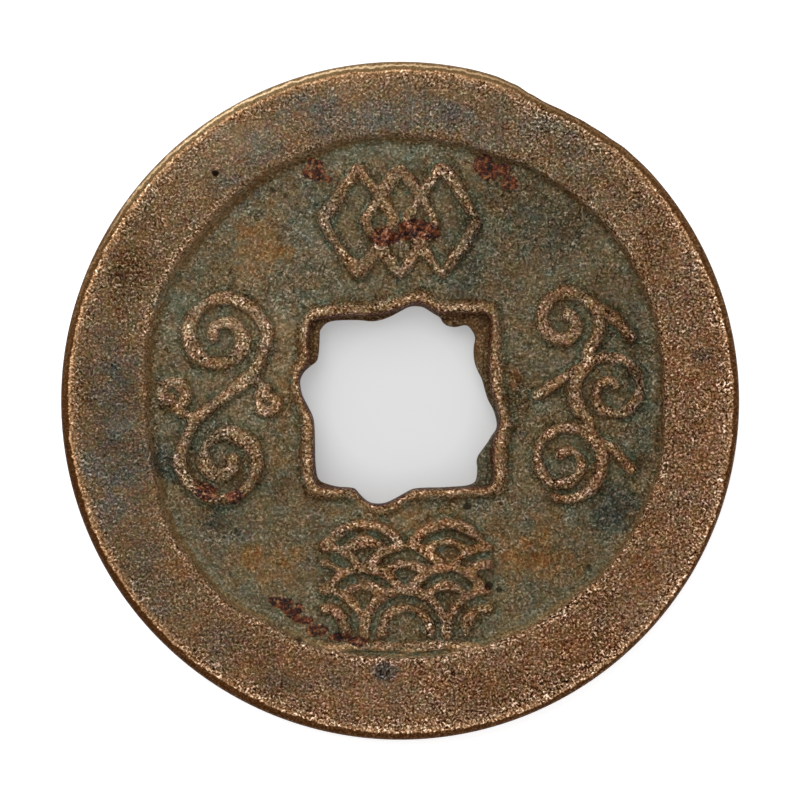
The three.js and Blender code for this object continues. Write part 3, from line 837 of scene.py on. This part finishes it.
# broad tone, and hue that wanders on its own
tint = wave(1.1, 3.5, 0.85, 67.0, 3.6)
green = wave(2.6, 2.5, 0.8, 73.0, 3.6)
mottle = wave(1.5, 3.5, 0.85, 77.0, 3.6)
base = lighten(base, plain("MULTIPLY", tint, ramp(raised_n, 0.2, 0.9, 0.023, 0.034)), (0.5, -0.08, -0.5))
base = lighten(base, plain("MULTIPLY", green, ramp(raised_n, 0.2, 0.9, 0.012, 0.019)), (-0.33, 0.67, -0.33))
base = lighten(base, plain("MULTIPLY", mottle, ramp(raised_n, 0.2, 0.9, 0.024, 0.0)), (1.0, 0.93, 0.84))
base = lighten(base, plain("MULTIPLY", mottle, ramp(raised_n, 0.2, 0.9, 0.0, 0.026)), (1.36, 0.98, 0.56))
base = lighten(base, attr("tone"), (1.0, 0.96, 0.9))
cool = math_("MULTIPLY", attr("cool"), ramp(noise(2.2, 3, 0.6, 57.0), 0.3, 0.55, 0.5, 1.1))
base = lighten(base, plain("MULTIPLY", cool, 0.095), (-0.55, 0.02, 0.5))
warm = math_("MULTIPLY", attr("warm"), ramp(noise(2.0, 4, 0.6, 39.0), 0.35, 0.6, 0.4, 1.1))
base = lighten(base, plain("MULTIPLY", warm, 0.10), (0.62, -0.02, -0.42))
# ragged distances
rag = plain("ADD", plain("MULTIPLY", wave(5.0, 2.0, 0.6, 101.0, 3.2), 0.030), plain("MULTIPLY", wave(1.7, 2.0, 0.5, 103.0, 3.2), 0.030))
edge_n = plain("ADD", attr("erel"), rag)
edge_c = plain("ADD", attr("erel"), plain("MULTIPLY", rag, 0.85))
step_n = plain("ADD", attr("inset"), rag)
fall_n = plain("ADD", attr("inset_n"), plain("MULTIPLY", rag, 3.0))


def band(value, centre, inner, outer_):
    """1 near a distance, falling to 0 on both sides."""
    return ramp(math_("ABSOLUTE", plain("SUBTRACT", value, centre), 0.0), inner, outer_, 1.0, 0.0)


bevel_n = ramp(edge_c, -0.02, 0.02, 1.0, 0.0)
# painted highlights on the outer edge: a bright line along its crest, and one on its slope where it faces the light
lip_highlight_n = math_("MULTIPLY", attr("lip"), band(edge_c, 0.05, 0.012, 0.065))
rim_out = math_("MULTIPLY", math_("MULTIPLY", band(edge_n, 0.07, 0.06, 0.25), attr("crest_out")), plain("SUBTRACT", 1.0, bevel_n))
rim_wide = math_("MULTIPLY", ramp(edge_n, 0.15, 0.75, 1.0, 0.0), plain("SUBTRACT", 1.0, bevel_n))
crest_n = attr("crest")
rim_in = math_("MULTIPLY", crest_n, band(step_n, 0.10, 0.04, 0.20))
shine_n = math_("MULTIPLY", attr("lit"), band(edge_c, -0.15, 0.012, 0.06))
slope_n = math_("MULTIPLY", ramp(fall_n, -1.35, -0.85), ramp(fall_n, -0.12, 0.16, 1.0, 0.0))
slope_n = math_("MULTIPLY", slope_n, math_("MULTIPLY", attr("fall"), ramp(noise(1.6, 2, 0.6, 109.0), 0.36, 0.6, 0.55, 1.0)))
# the rim's two borders are rubbed bright; its sloped inner step is painted orange brown as painted shade, lighter by
# angle where it faces the light as painted light
base = mix(math_("MULTIPLY", rim_wide, 0.15), base, rgb(112, 86, 58))
base = mix(math_("MULTIPLY", rim_out, 0.75), base, rgb(129, 97, 63))
base = mix(math_("MULTIPLY", rim_in, 0.6), base, rgb(118, 93, 65))
verge_n = math_("MULTIPLY", attr("verge"), band(step_n, -0.32, 0.10, 0.30))
base = mix(math_("MULTIPLY", verge_n, ramp(noise(2.6, 3, 0.6, 37.0), 0.36, 0.58, 0.3, 1.0)), base, rgb(104, 96, 76))
# painted shade on the inner step, lifted by the slope table as painted light where the step faces the light
step_shade_c = lighten(mix(1.0, base, rgb(90, 65, 38)), attr("slope"), (1.0, 0.98, 0.9))
base = mix(math_("MULTIPLY", slope_n, 0.95), base, step_shade_c)
# painted light at the bottom of the inner step, strongest at the bottom of the coin
lift_light_n = math_("MULTIPLY", attr("lift"), band(step_n, -0.20, 0.05, 0.15))
base = lighten(base, plain("MULTIPLY", lift_light_n, 0.125), (1.0, 0.74, 0.42))
# the inner rim's top: rubbed metal with a painted highlight, strongest on the left and lower side of the hole
base = mix(math_("MULTIPLY", attr("bead_wear_and_highlight"), ramp(noise(2.4, 3, 0.6, 111.0), 0.36, 0.6, 0.45, 1.0)), base, rgb(150, 118, 80))
# worn outer edge: painted shade in dark brown, turning to painted light in tan where it is turned up to the light
base = mix(math_("MULTIPLY", bevel_n, 0.9), base, mix(attr("lit"), rgb(66, 37, 12), rgb(128, 104, 70)))
base = mix(math_("MULTIPLY", attr("dark"), ramp(noise(2.4, 3, 0.6, 59.0), 0.3, 0.55, 0.5, 1.0)), base, rgb(50, 46, 38))
base = mix(math_("MULTIPLY", attr("ledge"), 0.75), base, mix(ramp(red_n, 0.25, 0.75), rgb(92, 62, 34), rgb(80, 72, 56)))
base = mix(math_("MULTIPLY", attr("seam"), ramp(noise(1.2, 3, 0.5, 85.0), 0.35, 0.55, 0.4, 0.95)), base, rgb(74, 36, 16))
halo = math_("MULTIPLY", attr("halo"), ramp(noise(1.4, 3, 0.5, 31.0), 0.42, 0.6))
base = mix(math_("MULTIPLY", halo, ramp(noise(3.0, 2, 0.6, 33.0), 0.36, 0.58, 0.3, 0.85)), base, rgb(98, 102, 84))
base = mix(math_("MULTIPLY", attr("teal"), ramp(noise(3.0, 3, 0.6, 37.0), 0.38, 0.6, 0.15, 0.8)), base, rgb(98, 104, 88))
crust_n = math_("MULTIPLY", ramp(attr("crust"), 0.12, 0.4), ramp(noise(2.4, 3, 0.6, 71.0), 0.30, 0.44, 0.3, 1.0))
rust = mix(ramp(noise(3.0, 3, 0.65, 75.0), 0.40, 0.60), rgb(54, 24, 9), rgb(94, 48, 23))
rust = mix(ramp(noise(4.4, 2, 0.6, 79.0), 0.50, 0.62), rust, rgb(30, 13, 5))
rust = mix(ramp(noise(5.2, 2, 0.6, 113.0), 0.54, 0.66, 0.0, 0.85), rust, rgb(132, 92, 55))
rust = lighten(rust, plain("MULTIPLY", wave(8.0, 2.0, 0.6, 105.0, 3.2), 0.07), (1.15, 0.9, 0.6))
base = mix(crust_n, base, rust)

# grain: fine light and dark curls, stronger in some places than in others
patchy = plain("MULTIPLY", ramp(noise(0.8, 3, 0.6, 13.0), 0.34, 0.66, 0.80, 1.2), ramp(noise(2.8, 2, 0.5, 17.0), 0.34, 0.66, 0.84, 1.17))
bands = math_("MAXIMUM", math_("MULTIPLY", rim_wide, 0.75), math_("MAXIMUM", math_("MULTIPLY", rim_out, 0.9), math_("MULTIPLY", rim_in, 0.9)))
worn_s = math_("MULTIPLY", ramp(convex_n, 0.05, 0.8, 0.0, 0.5), stroke_n)
gain = plain("ADD", 0.95, math_("MAXIMUM", math_("MULTIPLY", worn_s, 0.45), math_("MULTIPLY", bands, 0.85)))


def curl(scale, offset, width):
    """Thin bent lines where a smooth noise crosses its middle value."""
    return ramp(math_("ABSOLUTE", plain("SUBTRACT", noise(scale, 0.0, 0.5, offset), 0.5), 0.0), 0.0, width, 1.0, 0.0)


fine = wave(11.4, 1.0, 0.5, 3.0, 3.2)
bright = math_("MULTIPLY", curl(6.3, 11.0, 0.085), plain("ADD", 0.5, plain("MULTIPLY", fine, 0.5)))
pore = curl(6.0, 47.0, 0.08)
delta = plain("ADD", plain("MULTIPLY", fine, 0.125), plain("MULTIPLY", bright, 0.32))
delta = plain("ADD", plain("SUBTRACT", delta, plain("MULTIPLY", pore, 0.16)), 0.022)
delta = plain("MULTIPLY", delta, ramp(raised_n, 0.2, 0.9, 0.62, 1.0))
calm = plain("MULTIPLY", plain("SUBTRACT", 1.0, plain("MULTIPLY", bevel_n, 0.6)), plain("SUBTRACT", 1.0, plain("MULTIPLY", math_("MAXIMUM", crust_n, slope_n), 0.35)))
delta = plain("MULTIPLY", plain("MULTIPLY", delta, plain("MULTIPLY", rough_n, patchy)), plain("MULTIPLY", calm, gain))
delta = plain("ADD", delta, plain("MULTIPLY", ramp(raised_n, 0.2, 0.9, -0.004, 0.037), rough_n))
filed = noise(5.0, 3.0, 0.6, 97.0, 0.12)
delta = plain("ADD", delta, plain("MULTIPLY", attr("wall"), plain("MULTIPLY", plain("SUBTRACT", filed, 0.5), 0.5)))
bevel_free = plain("SUBTRACT", 1.0, math_("MAXIMUM", bevel_n, crust_n))
# painted shade: the grain is darkened in hollows
delta = plain("SUBTRACT", delta, ramp(convex_n, -0.2, -0.9, 0.0, 0.06))
flush = wave(6.0, 1.0, 0.6, 87.0, 3.0)
base = lighten(base, plain("MULTIPLY", flush, plain("MULTIPLY", bevel_free, 0.012)), (1.0, -0.3, -0.85))
base = lighten(base, math_("MULTIPLY", raised_n, plain("SUBTRACT", 1.0, bevel_n)), (0.000, -0.006, 0.003))
base = lighten(base, math_("MULTIPLY", plain("SUBTRACT", 1.0, raised_n), plain("SUBTRACT", 1.0, crust_n)), (-0.010, 0.004, 0.008))
col = lighten(base, delta, (1.03, 0.97, 0.95))
# painted highlight: the bright line along the outer edge's crest
col = lighten(col, plain("MULTIPLY", math_("MULTIPLY", lip_highlight_n, ramp(noise(2.0, 2, 0.5, 91.0), 0.35, 0.6, 0.55, 1.0)), 0.22), (1.15, 0.96, 0.78))
# painted highlight: the bright line on the outer slope where it faces the light
col = lighten(col, plain("MULTIPLY", shine_n, 0.38), (1.0, 0.97, 0.92))
# small open pits
bend = wave(5.0, 2.0, 0.5, 63.0, 3.0)
xy = node("ShaderNodeVectorMath", operation="MULTIPLY")
L.new(coords, xy.inputs[0])
xy.inputs[1].default_value = (1000.0, 1000.0, 0.0)
up_side = node("ShaderNodeSeparateXYZ")
L.new(coords, up_side.inputs[0])
top_side = ramp(up_side.outputs[2], 0.0006, 0.0007)
hole_n = None
for px, py, pr, pd in PITS:
    dn = node("ShaderNodeVectorMath", operation="DISTANCE")
    L.new(xy.outputs[0], dn.inputs[0])
    dn.inputs[1].default_value = (px, py, 0.0)
    away_from = plain("ADD", dn.outputs["Value"], plain("MULTIPLY", bend, pr * 0.3))
    one = ramp(away_from, pr * 0.55, pr * 1.15, min(0.95, pd * 8), 0.0)
    hole_n = one if hole_n is None else math_("MAXIMUM", hole_n, one)
hole_n = math_("MULTIPLY", hole_n, top_side)
col = mix(hole_n, col, rgb(30, 20, 12))
lin_c = node("ShaderNodeGamma")
L.new(col, lin_c.inputs["Color"])
lin_c.inputs["Gamma"].default_value = 2.2
col = lin_c.outputs[0]

bsdf = node("ShaderNodeBsdfPrincipled")
out = node("ShaderNodeOutputMaterial")
L.new(bsdf.outputs[0], out.inputs[0])
L.new(col, bsdf.inputs["Base Color"])
L.new(math_("MULTIPLY", ramp(raised_n, 0.3, 1.0, 0.35, 0.8), plain("SUBTRACT", 1.0, crust_n)), bsdf.inputs["Metallic"])
L.new(ramp(bright, 0.0, 1.0, 0.66, 0.46), bsdf.inputs["Roughness"])
bump = node("ShaderNodeBump")
bump.inputs["Strength"].default_value = 0.8
bump.inputs["Distance"].default_value = 0.000021
relief_n = plain("ADD", plain("MULTIPLY", fine, 0.2), plain("MULTIPLY", bright, 0.35))
relief_n = plain("SUBTRACT", relief_n, plain("MULTIPLY", pore, 0.15))
relief_n = plain("SUBTRACT", relief_n, plain("MULTIPLY", hole_n, 2.0))
L.new(relief_n, bump.inputs["Height"])
L.new(bump.outputs[0], bsdf.inputs["Normal"])
bsdf.inputs["Specular IOR Level"].default_value = 0.2
mesh.materials.append(mat)

# ---- floor --------------------------------------------------------------------------------------------
S = 0.6
floor_mesh = bpy.data.meshes.new("floor")
floor_mesh.from_pydata([(-S, -S, -0.00002), (S, -S, -0.00002), (S, S, -0.00002), (-S, S, -0.00002)], [], [(0, 1, 2, 3)])
floor = bpy.data.objects.new("floor", floor_mesh)
bpy.context.scene.collection.objects.link(floor)
fmat = bpy.data.materials.new("floor_pale_painted_shade")
fmat.use_nodes = True
fb = fmat.node_tree.nodes["Principled BSDF"]
fl = fmat.node_tree.links
# painted shade: the floor is grey under the coin, where the hole shows it, and pale beyond it; it glows, less under the
# coin, so the glow around the coin washes out its cast shadow as painted light; the glow is turned down from 2.5 mm
# out, a painted shadow along the hole's edge
fc = fmat.node_tree.nodes.new("ShaderNodeTexCoord")
fd = fmat.node_tree.nodes.new("ShaderNodeVectorMath")
fd.operation = "LENGTH"
fl.new(fc.outputs["Object"], fd.inputs[0])
fr = fmat.node_tree.nodes.new("ShaderNodeMapRange")
fl.new(fd.outputs["Value"], fr.inputs["Value"])
fr.inputs["From Min"].default_value = 0.0065
fr.inputs["From Max"].default_value = 0.0115
fr.inputs["To Min"].default_value = 0.33
fr.inputs["To Max"].default_value = 0.9
fb.inputs["Roughness"].default_value = 0.95
fl.new(fr.outputs[0], fb.inputs["Base Color"])
fe = fmat.node_tree.nodes.new("ShaderNodeMapRange")
fl.new(fd.outputs["Value"], fe.inputs["Value"])
fe.inputs["From Min"].default_value = 0.0065
fe.inputs["From Max"].default_value = 0.0115
fe.inputs["To Min"].default_value = 0.385
fe.inputs["To Max"].default_value = 0.65
fb.inputs["Emission Color"].default_value = (1, 1, 1, 1)
fn = fmat.node_tree.nodes.new("ShaderNodeMapRange")
fl.new(fd.outputs["Value"], fn.inputs["Value"])
fn.inputs["From Min"].default_value = 0.0025
fn.inputs["From Max"].default_value = 0.0039
fn.inputs["To Min"].default_value = 0.0
fn.inputs["To Max"].default_value = 0.10
fs = fmat.node_tree.nodes.new("ShaderNodeMath")
fs.operation = "SUBTRACT"
fl.new(fe.outputs[0], fs.inputs[0])
fl.new(fn.outputs[0], fs.inputs[1])
fl.new(fs.outputs[0], fb.inputs["Emission Strength"])
floor_mesh.materials.append(fmat)

# ---- light and camera -----------------------------------------------------------------------------------
scene = bpy.context.scene
world = bpy.data.worlds.new("studio")
scene.world = world
world.use_nodes = True
bg = world.node_tree.nodes["Background"]
bg.inputs[0].default_value = (1, 1, 1, 1)
bg.inputs[1].default_value = 0.62


def area(name, place, size, power, target=(0, 0, 0)):
    data = bpy.data.lights.new(name, "AREA")
    data.shape = "SQUARE"
    data.size = size
    data.energy = power
    ob = bpy.data.objects.new(name, data)
    ob.location = place
    ob.rotation_euler = (Vector(target) - Vector(place)).to_track_quat("-Z", "Y").to_euler()
    scene.collection.objects.link(ob)


area("key", (-0.10, 0.228, 0.29), 0.34, 1.06)
area("fill", (0.12, -0.22, 0.28), 0.25, 0.12)

cam_data = bpy.data.cameras.new("camera")
cam_data.lens = 135
cam_data.sensor_width = 36
cam_data.clip_start = 0.01
cam = bpy.data.objects.new("camera", cam_data)
scene.collection.objects.link(cam)
# the outline is 678 of 800 pixels wide and sits 0.1 px right of and 0.7 px below the middle
half = 0.5 * 0.0245 * 800 / 678
distance = half / (18 / 135)
cam.location = (-0.1 / 27670, 0.7 / 27670, distance * 0.9977 + 0.0013)
cam.rotation_euler = (0, 0, 0)
scene.camera = cam
scene.view_settings.view_transform = "Standard"
